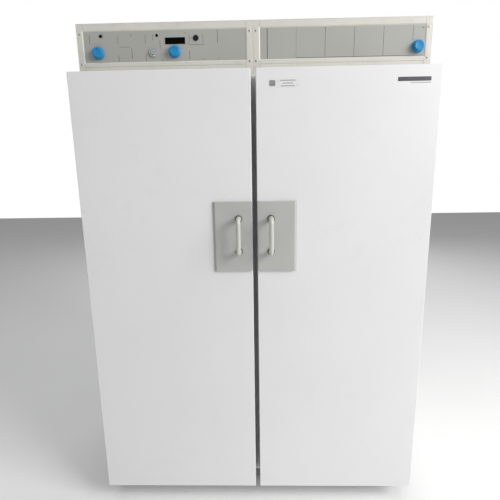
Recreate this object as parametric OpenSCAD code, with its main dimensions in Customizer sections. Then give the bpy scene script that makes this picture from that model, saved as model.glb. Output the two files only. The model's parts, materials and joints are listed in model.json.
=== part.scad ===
// Double-door laboratory incubator: free-standing cabinet with a control panel above two insulated doors.
// Millimetres. +Z is up, the doors face -Y, and the origin is under the middle of the cabinet on the floor.

/* [Cabinet] */
// Width of the cabinet over its side panels
cabinet_w = 1142; // [1130:1:1160]
// Depth of the cabinet from its front frame to its rear cover
cabinet_d = 700; // [690:1:760]
// Height of the steel base frame
base_h = 35; // [30:1:45]
// Height of the base frame above the floor
foot_h = 40; // [36:1:46]
// Thickness of the sheet steel
sheet_t = 1.5; // [1:0.1:2]
// Thickness of the insulation round the chamber
insulation_t = 50; // [30:1:60]
// Height of the control panel above the doors
panel_h = 158; // [150:1:170]

/* [Chamber] */
// Inner width of the heated chamber
chamber_w = 980; // [970:1:990]
// Inner depth of the heated chamber, air duct included
chamber_d = 590; // [580:1:600]
// Inner height of the heated chamber
chamber_h = 1310; // [1290:1:1320]
// Depth of the air duct behind the baffle
duct_d = 56; // [52:1:60]

/* [Doors] */
// Width of one door leaf
door_w = 567; // [560:1:570]
// Gap between the two door leaves
door_gap = 16; // [12:1:20]
// Height of the doors
door_h = 1490; // [1480:1:1500]
// Thickness of the doors
door_t = 78; // [70:1:84]
// Space between the doors and the cabinet, which the gaskets fill
gasket_t = 12; // [11:1:14]

/* [Handles] */
// Width of a handle's back plate
plate_w = 129; // [115:1:132]
// Height of a handle's back plate
plate_h = 234; // [220:1:250]
// Height of the middle of the handles above the floor
handle_z = 1043; // [1000:1:1080]
// Overall height of a grip
grip_h = 124; // [115:1:140]
// Diameter of a grip
grip_d = 15; // [12:1:16]
// Reach of a grip in front of its door
handle_reach = 58; // [50:1:64]

/* [Controls] */
// Diameter of the blue control knobs
knob_d = 39; // [34:1:42]
// Depth of the blue control knobs
knob_l = 17; // [16:1:24]

/* [Hidden] */
$fn = 64;
spigot_l = 30;
total_d = handle_reach + door_t + gasket_t + cabinet_d + spigot_l;
door_front_y = handle_reach - total_d / 2;
door_back_y = door_front_y + door_t;
front_y = door_back_y + gasket_t;
rear_y = front_y + cabinet_d;
half_w = cabinet_w / 2;
inner_w = half_w - sheet_t;
body_z = foot_h + base_h;
door_top_z = body_z + door_h;
body_top_z = door_top_z + 3;
top_z = body_top_z + panel_h;
tray_top_z = body_top_z + 2;

// Front frame, mullion and chamber
frame_t = 20;
chamber_y = front_y + frame_t;
chamber_back_y = chamber_y + chamber_d;
chamber_z = body_z + 95;
chamber_top_z = chamber_z + chamber_h;
half_chamber = chamber_w / 2;
mullion_w = 70;
mullion_d = 40;
baffle_y = chamber_back_y - duct_d;
fan_z = 1240;
fan_r = 88;
shaft_r = 5;
motor_r = 38;
motor_flange_r = 45;
motor_l = 62;
probe_x = 190;
probe_z = fan_z + 60;

// Shelves: levels measured from the chamber floor
shelf_levels = [330, 655, 980];
shelf_w = 472;
shelf_d = 480;
shelf_t = 6;
shelf_front_y = -235;
rail_ys = [-180, 180];
post_w = 20;
strip_t = 4;

// Doors and hinges
hinge_inset = 15;
hinge_x = door_gap / 2 + door_w - hinge_inset;
hinge_y = door_back_y - 30;
pin_r = 5;
pin_l = 25;
running_fit = 0.05;
boss_r = 12;
gasket_w = 20;
gasket_rest_gap = 0.3;
plug_d = 24;

// Handles
plate_t = 8;
grip_x = 53;
grip_z = handle_z + 6;
leg_z = (grip_h - grip_d) / 2;
collar_r = 12;
collar_t = 4;

// Control panel: two modules side by side
bezel_d = 20;
bezel_top = 22;
bezel_bottom = 43;
bezel_outer = 20;
bezel_inner = 23;
fascia_z = body_top_z + bezel_bottom;
fascia_top_z = top_z - bezel_top;
fascia_y = front_y + 2;
fascia_t = 3;
knob_z = 1639;
timer_x = -503;
setpoint_x = -253;
vent_x = 528;
dial_x = -323;
dial_r = 15;
button_x = -184;
button_z = 1679;
button_r = 7;
button_travel = 3;
button_l = 13;
lamps = [[-493, 1690, 5], [-310, 1689, 4.5]];
display_low = [-284, 1662];
display_high = [-219, 1682];
spindle_r = 3;
spindle_l = 19;
vent_shaft_r = 4;
vent_shaft_y = fascia_y - 12;
screw_r = 2;
screw_head_r = 4;
screw_inset = 10;
screw_high_z = fascia_top_z - 8;
screw_low_z = fascia_z - 5;
screw_l = 11;

// Exhaust pipe with its shutter
pipe_x = 470;
pipe_r = 20;
pipe_wall = 2;
pipe_front_y = 240;
riser_x = pipe_x - 20;
riser_y = pipe_front_y - 60;
shutter_y = 303;
shutter_r = 17.5;

foot_inset = 30;
foot_r = 24;
stem_r = 6;

// ---- helpers ----

// A box between two opposite corners
module block(low, high) {
    translate(low) cube(high - low);
}

// A cylinder along Y from y0 to y1
module rod_y(x, z, r, y0, y1) {
    translate([x, y0, z]) rotate([-90, 0, 0]) cylinder(r = r, h = y1 - y0);
}

// A cylinder along Z from z0 to z1
module rod_z(x, y, r, z0, z1) {
    translate([x, y, z0]) cylinder(r = r, h = z1 - z0);
}

// Draws its children on the right for side 1 and mirrored on the left for side -1
module on_side(side) {
    if (side > 0) children();
    else mirror([1, 0, 0]) children();
}

// ---- base and feet ----

// Perimeter and middle rails, each a trough open at the top, with solid corners bored for the feet
module base_frame() {
    rail = 60;
    wall = 3;
    x1 = half_w - rail;
    y0 = front_y + rail;
    y1 = rear_y - rail;
    floor_z = foot_h + wall;
    over_z = body_z + 1;
    color("lightslategray") difference() {
        block([-half_w, front_y, foot_h], [half_w, rear_y, body_z]);
        for (side = [-1, 1])
            on_side(side) {
                block([rail / 2, y0, foot_h - 1], [x1, y1, over_z]);
                block([x1 + wall, y0, floor_z], [half_w - wall, y1, over_z]);
            }
        for (y = [front_y, rear_y - rail])
            block([-x1, y + wall, floor_z], [x1, y + rail - wall, over_z]);
        block([wall - rail / 2, y0, floor_z], [rail / 2 - wall, y1, over_z]);
        for (x = [-1, 1] * (half_w - foot_inset), y = [front_y + foot_inset, rear_y - foot_inset])
            rod_z(x, y, stem_r + running_fit, foot_h - 1, over_z);
    }
}

// One levelling foot: pad, spanner hexagon and threaded stem, drawn as a plain cylinder
module foot(x, y) {
    pad_h = 10;
    hex_h = 10;
    hex_r = 12;
    color("dimgray") {
        rod_z(x, y, foot_r, 0, pad_h);
        translate([x, y, pad_h]) cylinder(r = hex_r, h = hex_h, $fn = 6);
        rod_z(x, y, stem_r, pad_h + hex_h, body_z - 1);
    }
}

module front_left_foot() foot(-half_w + foot_inset, front_y + foot_inset);
module front_right_foot() foot(half_w - foot_inset, front_y + foot_inset);
module rear_left_foot() foot(-half_w + foot_inset, rear_y - foot_inset);
module rear_right_foot() foot(half_w - foot_inset, rear_y - foot_inset);

// ---- casing ----

// Side sheet with an inward flange at the rear, which the rear cover closes over
module side_panel(side) {
    flange = 20;
    back = rear_y - sheet_t;
    color("whitesmoke") on_side(side) {
        block([inner_w, front_y, body_z], [half_w, back, top_z]);
        block([inner_w - flange, back - sheet_t, body_z], [inner_w, back, top_z]);
    }
}

module left_side_panel() side_panel(-1);
module right_side_panel() side_panel(1);

module top_cover() {
    lip = 10;
    color("whitesmoke") {
        block([-half_w, front_y, top_z], [half_w, rear_y, top_z + 2]);
        for (side = [-1, 1])
            on_side(side)
                block([inner_w - sheet_t, chamber_y, top_z - lip], [inner_w, rear_y - 2 * sheet_t, top_z]);
    }
}

// Rear sheet with the exhaust hole, the mains inlet cut-out and a field of vent slots
module rear_cover() {
    slot_w = 60;
    slot_h = 5;
    slot_pitch = [90, 14];
    slots_z = body_top_z + 32;
    y0 = rear_y - 5;
    y1 = rear_y + 5;
    color("gainsboro") difference() {
        block([-half_w, rear_y - sheet_t, body_z], [half_w, rear_y, top_z]);
        rod_y(pipe_x, knob_z, pipe_r + 0.5, y0, y1);
        inlet_body(y0, y1, 0);
        for (column = [-1:1], row = [0:5])
            translate([column * slot_pitch[0] - slot_w / 2, y0, slots_z + row * slot_pitch[1]])
                cube([slot_w, y1 - y0, slot_h]);
    }
}

// Painted ring of folded sheet round the chamber mouth, which carries the gaskets
module front_frame() {
    t = sheet_t;
    color("whitesmoke") difference() {
        block([-inner_w, front_y, body_z], [inner_w, chamber_y, body_top_z]);
        block([-half_chamber, front_y - 1, chamber_z], [half_chamber, chamber_y + 1, chamber_top_z]);
        difference() {
            block([t - inner_w, front_y + t, body_z + t], [inner_w - t, chamber_y + 1, body_top_z - t]);
            block([-half_chamber - t, front_y, chamber_z - t],
                  [half_chamber + t, chamber_y + 2, chamber_top_z + t]);
        }
    }
}

// Fixed hollow post between the doors, so that either door seals and opens alone
module center_mullion() {
    wall = 2;
    color("whitesmoke") difference() {
        block([-mullion_w / 2, front_y, chamber_z], [mullion_w / 2, front_y + mullion_d, chamber_top_z]);
        block([wall - mullion_w / 2, front_y + wall, chamber_z - 1],
              [mullion_w / 2 - wall, front_y + mullion_d - wall, chamber_top_z + 1]);
    }
}

// ---- chamber ----

// Holes through the rear wall for the fan shaft, the heater's legs and the probe
module duct_holes(y0, y1) {
    rod_y(0, fan_z, 2 * shaft_r, y0, y1);
    for (x = [-1, 1] * heater_leg_x) rod_y(x, heater_leg_z, heater_r, y0, y1);
    rod_y(probe_x, probe_z, probe_r, y0, y1);
}

// Stainless box, open at the front
module chamber_liner() {
    color("silver") difference() {
        block([-half_chamber - sheet_t, chamber_y, chamber_z - sheet_t],
              [half_chamber + sheet_t, chamber_back_y + sheet_t, chamber_top_z + sheet_t]);
        block([-half_chamber, chamber_y - 1, chamber_z], [half_chamber, chamber_back_y, chamber_top_z]);
        duct_holes(chamber_back_y - 1, chamber_back_y + sheet_t + 1);
        rod_z(riser_x, riser_y, pipe_r, chamber_top_z - 1, chamber_top_z + sheet_t + 1);
    }
}

// Mineral wool round the liner, with a well for the fan motor
module cabinet_insulation() {
    t = sheet_t;
    color("khaki") difference() {
        block([-half_chamber - t - insulation_t, chamber_y, chamber_z - t - insulation_t],
              [half_chamber + t + insulation_t, chamber_back_y + t + insulation_t,
               chamber_top_z + t + insulation_t]);
        block([-half_chamber - t, chamber_y - 1, chamber_z - t],
              [half_chamber + t, chamber_back_y + t, chamber_top_z + t]);
        duct_holes(chamber_back_y, rear_y);
        rod_y(0, fan_z, motor_flange_r + 1, chamber_back_y, rear_y);
        rod_z(riser_x, riser_y, pipe_r, chamber_top_z, body_top_z);
    }
}

// False rear wall: suction grille in front of the fan and blowing slots in its side returns
module air_baffle() {
    side_gap = 14;
    x = half_chamber - side_gap;
    low_z = chamber_z + 30;
    high_z = chamber_top_z - 30;
    grille_r = 84;
    slit_pitch = 16;
    color("silver") difference() {
        block([-x, baffle_y, low_z], [x, chamber_back_y, high_z]);
        block([sheet_t - x, baffle_y + sheet_t, low_z - 1], [x - sheet_t, chamber_back_y + 1, high_z + 1]);
        for (i = [-5:5]) {
            half_slit = sqrt(pow(grille_r, 2) - pow(i * slit_pitch, 2));
            block([i * slit_pitch - 4, baffle_y - 1, fan_z - half_slit],
                  [i * slit_pitch + 4, baffle_y + sheet_t + 1, fan_z + half_slit]);
        }
        for (i = [0:9])
            block([-x - 1, baffle_y + 15, low_z + 70 + i * 120],
                  [x + 1, chamber_back_y - 15, low_z + 130 + i * 120]);
    }
}

module shelf_runner(x0, x1) {
    runner_t = 2;
    y0 = shelf_front_y + 20;
    y1 = shelf_front_y + shelf_d - 30;
    for (level = shelf_levels)
        block([x0, y0, chamber_z + level - runner_t], [x1, y1, chamber_z + level]);
}

// Two slotted strips on each side wall and two posts in the middle, all with runners for the shelves
module shelf_rails() {
    runner_w = 20;
    strip_w = 25;
    wall_x = half_chamber - strip_t;
    color("silver") {
        for (side = [-1, 1])
            on_side(side) {
                for (y = rail_ys)
                    block([wall_x, y - strip_w / 2, chamber_z],
                          [half_chamber, y + strip_w / 2, chamber_top_z]);
                shelf_runner(wall_x - runner_w, wall_x);
            }
        for (y = rail_ys)
            block([-post_w / 2, y - strip_w / 2, chamber_z], [post_w / 2, y + strip_w / 2, chamber_top_z]);
        shelf_runner(-post_w / 2 - runner_w, post_w / 2 + runner_w);
    }
}

// Wire shelf: a frame with bars from front to back
module shelf(side, index) {
    bar = 3;
    bars = 17;
    z = chamber_z + shelf_levels[index - 1];
    inner_x = post_w / 2 + 2;
    open_w = shelf_w - 2 * shelf_t;
    open_d = shelf_d - 2 * shelf_t;
    pitch = open_w / (bars + 1);
    color("lightgray") on_side(side) translate([inner_x, shelf_front_y, z]) {
        difference() {
            cube([shelf_w, shelf_d, shelf_t]);
            translate([shelf_t, shelf_t, -1]) cube([open_w, open_d, shelf_t + 2]);
        }
        for (i = [1:bars])
            translate([shelf_t + i * pitch - bar / 2, shelf_t, shelf_t - bar])
                cube([bar, open_d, bar]);
        for (y = [shelf_d / 3, 2 * shelf_d / 3])
            translate([shelf_t, y, 0]) cube([open_w, bar, shelf_t - bar]);
    }
}

module left_shelf_1() shelf(-1, 1);
module left_shelf_2() shelf(-1, 2);
module left_shelf_3() shelf(-1, 3);
module right_shelf_1() shelf(1, 1);
module right_shelf_2() shelf(1, 2);
module right_shelf_3() shelf(1, 3);

// ---- air system ----

heater_r = 4;
heater_ring_r = 118;
heater_y = baffle_y + 28;
heater_leg_x = 20;
heater_leg_z = fan_z - sqrt(pow(heater_ring_r, 2) - pow(heater_leg_x, 2));
probe_r = 3;

// Tubular heater: a ring round the fan with two legs through the rear wall
module heater_coil() {
    leg_l = 68;
    color("dimgray") {
        translate([0, heater_y, fan_z]) rotate([90, 0, 0])
            rotate_extrude() translate([heater_ring_r, 0]) circle(r = heater_r);
        for (x = [-1, 1] * heater_leg_x) rod_y(x, heater_leg_z, heater_r - 0.5, heater_y, heater_y + leg_l);
    }
}

motor_y = chamber_back_y + sheet_t;
motor_back_y = motor_y + motor_l;

module fan_motor() {
    flange_t = 3;
    end_wall = 8;
    color("darkslategray") difference() {
        union() {
            rod_y(0, fan_z, motor_r, motor_y + flange_t, motor_back_y);
            rod_y(0, fan_z, motor_flange_r, motor_y, motor_y + flange_t);
        }
        rod_y(0, fan_z, shaft_r + running_fit, motor_y - 1, motor_back_y - end_wall);
    }
}

// Radial impeller: back disc, hub, flat blades and the shaft that runs in the motor
module fan_impeller() {
    blades = 10;
    disc_t = 2;
    hub_r = 15;
    disc_y = chamber_back_y - 14;
    blade_front_y = baffle_y + 8;
    color("gray") {
        rod_y(0, fan_z, fan_r, disc_y, disc_y + disc_t);
        rod_y(0, fan_z, hub_r, blade_front_y, disc_y);
        rod_y(0, fan_z, shaft_r, disc_y + disc_t, motor_back_y - 10);
        for (i = [0:blades - 1])
            translate([0, 0, fan_z]) rotate([0, i * 360 / blades, 0])
                block([hub_r - 1, blade_front_y, -1], [fan_r - 4, disc_y, 1]);
    }
}

module temperature_probe() {
    head_r = 7;
    head_y = chamber_back_y + sheet_t + insulation_t;
    color("silver") {
        rod_y(probe_x, probe_z, probe_r, baffle_y + 10, head_y + 10);
        rod_y(probe_x, probe_z, head_r, head_y, head_y + 4);
    }
}

// Exhaust: a riser out of the chamber ceiling, a bend and a straight pipe to the rear spigot.
// The slot across the straight pipe lets the shutter blade swing in and out.
module exhaust_pipe() {
    w = pipe_wall;
    box_h = 24;
    end_y = rear_y + spigot_l;
    slot = 3;
    reach = pipe_r + 10;
    rest = 5;
    low = [riser_x - pipe_r, riser_y - pipe_r, knob_z - box_h];
    high = [pipe_x + pipe_r, pipe_front_y, knob_z + box_h];
    color("silver") difference() {
        union() {
            rod_y(pipe_x, knob_z, pipe_r - 0.5, pipe_front_y, rear_y);
            rod_y(pipe_x, knob_z, pipe_r, rear_y, end_y);
            block(low, high);
            rod_z(riser_x, riser_y, pipe_r - 0.2, chamber_top_z, low[2]);
        }
        rod_y(pipe_x, knob_z, pipe_r - w, pipe_front_y - w - 1, end_y + 1);
        block(low + [w, w, w], high - [w, w, w]);
        rod_z(riser_x, riser_y, pipe_r - w, chamber_top_z - 1, low[2] + w + 1);
        for (cut = [[rest, reach], [reach, rest]])
            block([pipe_x - cut[0], shutter_y - slot, knob_z - cut[1]],
                  [pipe_x + reach, shutter_y + slot, knob_z + reach]);
    }
}

// ---- control compartment ----

// Floor of the control compartment, with the bearing bracket of the vent shaft
module control_tray() {
    bracket_w = 24;
    bracket_t = 6;
    bracket_y = 250;
    color("silver") difference() {
        union() {
            block([-inner_w, chamber_y, body_top_z], [inner_w, rear_y - 2 * sheet_t, tray_top_z]);
            block([vent_x - bracket_w / 2, bracket_y, body_top_z],
                  [vent_x + bracket_w / 2, bracket_y + bracket_t, knob_z + 16]);
        }
        rod_z(riser_x, riser_y, pipe_r, body_top_z - 1, tray_top_z + 1);
        rod_y(vent_x, knob_z, vent_shaft_r + running_fit, bracket_y - 1, bracket_y + bracket_t + 1);
    }
}

module screw_places(side) {
    for (x = [screw_inset, inner_w - screw_inset], z = [screw_low_z, screw_high_z])
        translate([side * x, front_y, z]) children();
}

// Moulded bezel of one control module
module panel_frame(side) {
    color("gainsboro") difference() {
        on_side(side) difference() {
            block([0, front_y, body_top_z], [inner_w, front_y + bezel_d, top_z]);
            block([bezel_inner, front_y - 1, fascia_z],
                  [inner_w - bezel_outer, front_y + bezel_d + 1, fascia_top_z]);
        }
        screw_places(side) rotate([-90, 0, 0]) translate([0, 0, -1]) cylinder(r = screw_r, h = screw_l + 3);
    }
}

module left_panel_frame() panel_frame(-1);
module right_panel_frame() panel_frame(1);

module fascia_plate(side) {
    on_side(side)
        block([bezel_inner, fascia_y, fascia_z], [inner_w - bezel_outer, fascia_y + fascia_t, fascia_top_z]);
}

module fascia_hole(x, z, r) {
    rod_y(x, z, r, fascia_y - 1, fascia_y + fascia_t + 1);
}

module left_fascia() {
    color("darkgray") difference() {
        fascia_plate(-1);
        fascia_hole(timer_x, knob_z, spindle_r + 2);
        fascia_hole(setpoint_x, knob_z, spindle_r + 2);
        fascia_hole(dial_x, knob_z, spindle_r + 2);
        fascia_hole(button_x, button_z, button_r + 0.5);
        for (lamp = lamps) fascia_hole(lamp[0], lamp[1], lamp[2]);
        block([display_low[0], fascia_y - 1, display_low[1]],
              [display_high[0], fascia_y + fascia_t + 1, display_high[1]]);
    }
}

module right_fascia() {
    color("darkgray") difference() {
        fascia_plate(1);
        fascia_hole(vent_x, knob_z, vent_shaft_r + 2);
    }
}

module panel_screws() {
    head_t = 2;
    color("silver") for (side = [-1, 1])
        screw_places(side) rotate([-90, 0, 0]) {
            translate([0, 0, -head_t]) cylinder(r = screw_head_r, h = head_t);
            cylinder(r = screw_r - 0.05, h = screw_l);
        }
}

module display_window() {
    color("black")
        block([display_low[0], fascia_y - 1, display_low[1]],
              [display_high[0], fascia_y + fascia_t, display_high[1]]);
}

module indicator_lamps() {
    color("black") for (lamp = lamps) rod_y(lamp[0], lamp[1], lamp[2], fascia_y - 1.5, fascia_y + 8);
}

// Display module behind the window and the main board on the tray, with standoffs and components
module control_board() {
    board = [230, 120, 1.6];
    board_low = [-430, -150, body_top_z + 14];
    inset = 10;
    standoff_r = 4;
    chip = [28, 34, 12];
    module_y = fascia_y + fascia_t;
    color("seagreen") {
        translate(board_low) cube(board);
        for (x = [inset, board[0] - inset], y = [inset, board[1] - inset])
            rod_z(board_low[0] + x, board_low[1] + y, standoff_r, tray_top_z, board_low[2]);
        for (i = [0:3])
            translate(board_low + [30 + i * 45, 40, board[2]]) cube(chip);
        block([display_low[0] - 8, module_y, display_low[1] - 4],
              [display_high[0] + 8, module_y + 14, display_high[1] + 4]);
    }
}

// Closed metal box on the tray, with a fixing ear at each end
module power_supply() {
    low = [-90, -60, tray_top_z];
    size = [170, 100, 58];
    ear = [8, 60, 3];
    color("silver") {
        translate(low) cube(size);
        for (x = [-ear[0], size[0]]) translate(low + [x, 20, 0]) cube(ear);
    }
}

// Adjustable over-temperature switch behind the safety dial
module safety_thermostat() {
    body = [40, 42, 36];
    back_y = fascia_y + fascia_t;
    color("darkslategray") difference() {
        translate([dial_x - body[0] / 2, back_y, knob_z - body[2] / 2]) cube(body);
        spindle_bore(dial_x);
    }
}

// Blind bore for the spindle of a knob at x
module spindle_bore(x) {
    back_y = fascia_y + fascia_t;
    rod_y(x, knob_z, spindle_r + running_fit, back_y - 1, back_y + spindle_l + 1);
}

// Two rotary switches and the housing of the power button, all behind the left fascia
module panel_switches() {
    switch_r = 13;
    switch_l = 24;
    back_y = fascia_y + fascia_t;
    color("black") {
        for (x = [timer_x, setpoint_x])
            difference() {
                rod_y(x, knob_z, switch_r, back_y, back_y + switch_l);
                spindle_bore(x);
            }
        difference() {
            rod_y(button_x, button_z, button_r + 3, back_y, back_y + switch_l);
            rod_y(button_x, button_z, button_r + running_fit, back_y - 1,
                  back_y + button_l + button_travel + 2);
        }
    }
}

inlet_x = -480;

module inlet_body(y0, y1, wall) {
    block([inlet_x - 24 + wall, y0, knob_z - 14 + wall], [inlet_x + 24 - wall, y1, knob_z + 14 - wall]);
}

// Appliance inlet in the rear cover: flange, socket and three contact pins
module mains_inlet() {
    color("black") difference() {
        union() {
            inlet_body(rear_y - 32, rear_y, 0);
            block([inlet_x - 30, rear_y, knob_z - 18], [inlet_x + 30, rear_y + 2, knob_z + 18]);
        }
        inlet_body(rear_y - 20, rear_y + 3, 4);
    }
    color("silver") for (x = [-10, 0, 10])
        block([inlet_x + x - 1, rear_y - 22, knob_z - 4], [inlet_x + x + 1, rear_y - 4, knob_z + 4]);
}

// ---- controls ----

// Skirted knob on a spindle that runs in the switch behind the fascia
module knob(x, spindle) {
    skirt_h = 5;
    grip_r = knob_d / 2 - 3;
    base_y = fascia_y - 0.5;
    rod_y(x, knob_z, knob_d / 2, base_y - skirt_h, base_y);
    rod_y(x, knob_z, grip_r, base_y - knob_l, base_y - skirt_h);
    if (spindle) rod_y(x, knob_z, spindle_r, base_y, fascia_y + fascia_t + spindle_l);
}

module timer_knob() color("dodgerblue") knob(timer_x, true);
module setpoint_knob() color("dodgerblue") knob(setpoint_x, true);

module vent_knob() {
    color("dodgerblue") difference() {
        knob(vent_x, false);
        rod_y(vent_x, knob_z, vent_shaft_r, vent_shaft_y, fascia_y);
    }
}

// Long vent shaft with the arm and disc that close the exhaust pipe
module vent_shaft() {
    arm = 8;
    y0 = shutter_y - 1;
    y1 = shutter_y + 1;
    color("silver") {
        rod_y(vent_x, knob_z, vent_shaft_r, vent_shaft_y, shutter_y + 12);
        rod_y(pipe_x, knob_z, shutter_r, y0, y1);
        block([pipe_x, y0, knob_z - arm / 2], [vent_x, y1, knob_z + arm / 2]);
    }
}

module safety_dial() {
    color("white") {
        difference() {
            rod_y(dial_x, knob_z, dial_r, fascia_y - 7, fascia_y - 0.5);
            block([dial_x - 8, fascia_y - 8, knob_z - 1], [dial_x + 8, fascia_y - 5, knob_z + 1]);
        }
        rod_y(dial_x, knob_z, spindle_r, fascia_y - 0.5, fascia_y + fascia_t + spindle_l);
    }
}

module power_button() {
    color("black") rod_y(button_x, button_z, button_r, fascia_y - 4, fascia_y + fascia_t + button_l);
}

// ---- doors ----

module hinge_bores() {
    for (z = [body_z - 1, door_top_z - pin_l - 1])
        rod_z(hinge_x, hinge_y, pin_r + running_fit, z, z + pin_l + 2);
}

// Sheet steel tray that forms the front and the four edges of a door, with its two hinge bushes
module door_skin(side) {
    x0 = door_gap / 2;
    x1 = x0 + door_w;
    color("white") on_side(side) difference() {
        union() {
            difference() {
                block([x0, door_front_y, body_z], [x1, door_back_y, door_top_z]);
                block([x0 + sheet_t, door_front_y + sheet_t, body_z + sheet_t],
                      [x1 - sheet_t, door_back_y + 1, door_top_z - sheet_t]);
            }
            rod_z(hinge_x, hinge_y, boss_r, body_z + 0.5, body_z + pin_l + 4);
            rod_z(hinge_x, hinge_y, boss_r, door_top_z - pin_l - 4, door_top_z - 0.5);
        }
        hinge_bores();
    }
}

plug_x0 = 45;
plug_x1 = half_chamber - 10;
plug_z0 = chamber_z + 12;
plug_z1 = chamber_top_z - 12;

// Inner sheet of a door, with a raised panel that reaches into the chamber mouth
module door_liner(side) {
    x0 = door_gap / 2 + sheet_t;
    x1 = door_gap / 2 + door_w - sheet_t;
    color("silver") on_side(side) difference() {
        union() {
            block([x0, door_back_y - sheet_t, body_z + sheet_t], [x1, door_back_y, door_top_z - sheet_t]);
            block([plug_x0, door_back_y - sheet_t, plug_z0], [plug_x1, door_back_y + plug_d, plug_z1]);
        }
        block([plug_x0 + sheet_t, door_back_y - sheet_t - 1, plug_z0 + sheet_t],
              [plug_x1 - sheet_t, door_back_y + plug_d - sheet_t, plug_z1 - sheet_t]);
    }
}

module door_insulation(side) {
    x0 = door_gap / 2 + sheet_t;
    x1 = door_gap / 2 + door_w - sheet_t;
    clear_r = boss_r + 2;
    color("khaki") on_side(side) difference() {
        block([x0, door_front_y + sheet_t, body_z + sheet_t],
              [x1, door_front_y + sheet_t + insulation_t, door_top_z - sheet_t]);
        for (z = [body_z, door_top_z - pin_l - 6])
            rod_z(hinge_x, hinge_y, clear_r, z, z + pin_l + 6);
    }
}

// Magnetic gasket frame on the door's inner face
module door_gasket(side) {
    x0 = 12;
    x1 = half_chamber + 10 + gasket_w;
    z0 = chamber_z - 10 - gasket_w;
    z1 = chamber_top_z + 10 + gasket_w;
    color("dimgray") on_side(side) difference() {
        block([x0, door_back_y, z0], [x1, front_y - gasket_rest_gap, z1]);
        block([x0 + gasket_w, door_back_y - 1, z0 + gasket_w],
              [x1 - gasket_w, front_y, z1 - gasket_w]);
    }
}

module handle_plate(side) {
    x0 = door_gap / 2 + 1;
    low_z = handle_z - plate_h / 2;
    color("darkgray") on_side(side)
        block([x0, door_front_y - plate_t, low_z], [x0 + plate_w, door_front_y, low_z + plate_h]);
}

// Bridge handle: an upright grip on two legs
module handle(side) {
    r = grip_d / 2;
    grip_y = door_front_y - handle_reach + r;
    color("ivory") on_side(side) {
        rod_z(grip_x, grip_y, r, grip_z - leg_z, grip_z + leg_z);
        for (z = [grip_z - leg_z, grip_z + leg_z]) {
            translate([grip_x, grip_y, z]) sphere(r = r);
            rod_y(grip_x, z, r, grip_y, door_front_y - plate_t);
        }
    }
}

// Dark rings round the feet of the handle's legs
module handle_collars(side) {
    back_y = door_front_y - plate_t;
    color("black") on_side(side) for (z = [grip_z - leg_z, grip_z + leg_z])
        difference() {
            rod_y(grip_x, z, collar_r, back_y - collar_t, back_y);
            rod_y(grip_x, z, grip_d / 2, back_y - collar_t - 1, back_y + 1);
        }
}

module left_door_skin() door_skin(-1);
module left_door_liner() door_liner(-1);
module left_door_insulation() door_insulation(-1);
module left_door_gasket() door_gasket(-1);
module left_handle_plate() handle_plate(-1);
module left_handle() handle(-1);
module left_handle_collars() handle_collars(-1);
module right_door_skin() door_skin(1);
module right_door_liner() door_liner(1);
module right_door_insulation() door_insulation(1);
module right_door_gasket() door_gasket(1);
module right_handle_plate() handle_plate(1);
module right_handle() handle(1);
module right_handle_collars() handle_collars(1);

// Four angle brackets on the cabinet's front, each with the pin that its door turns on
module hinge_brackets() {
    ledge_t = 2.5;
    upright_t = 3;
    upright_h = 30;
    door_gap_z = 0.5;
    x0 = hinge_x - 25;
    y0 = hinge_y - boss_r;
    top = door_top_z + door_gap_z;
    bottom = body_z - door_gap_z;
    color("silver") for (side = [-1, 1]) on_side(side) {
        block([x0, y0, top], [inner_w, front_y, top + ledge_t]);
        block([x0, front_y - upright_t, top - upright_h], [inner_w, front_y, top]);
        rod_z(hinge_x, hinge_y, pin_r, door_top_z - pin_l, top);
        block([x0, y0, bottom - ledge_t], [inner_w, front_y, bottom]);
        block([x0, front_y - upright_t, foot_h], [inner_w, front_y, bottom - ledge_t]);
        rod_z(hinge_x, hinge_y, pin_r, bottom, body_z + pin_l);
    }
}

// ---- drawing ----

base_frame();
left_side_panel();
right_side_panel();
top_cover();
rear_cover();
front_frame();
center_mullion();
chamber_liner();
cabinet_insulation();
air_baffle();
shelf_rails();
left_shelf_1();
left_shelf_2();
left_shelf_3();
right_shelf_1();
right_shelf_2();
right_shelf_3();
heater_coil();
fan_motor();
fan_impeller();
temperature_probe();
exhaust_pipe();
control_tray();
left_panel_frame();
right_panel_frame();
left_fascia();
right_fascia();
panel_screws();
display_window();
indicator_lamps();
control_board();
power_supply();
safety_thermostat();
panel_switches();
mains_inlet();
hinge_brackets();
left_door_skin();
left_door_liner();
left_door_insulation();
left_door_gasket();
left_handle_plate();
left_handle();
left_handle_collars();
right_door_skin();
right_door_liner();
right_door_insulation();
right_door_gasket();
right_handle_plate();
right_handle();
right_handle_collars();
timer_knob();
setpoint_knob();
safety_dial();
vent_knob();
vent_shaft();
power_button();
front_left_foot();
front_right_foot();
rear_left_foot();
rear_right_foot();
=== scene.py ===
"""Looks of the two-door laboratory incubator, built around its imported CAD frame.

Metres, +Z up, front faces -Y.
"""

import json
import math

import bmesh
import bpy
from mathutils import Matrix, Vector


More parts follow.
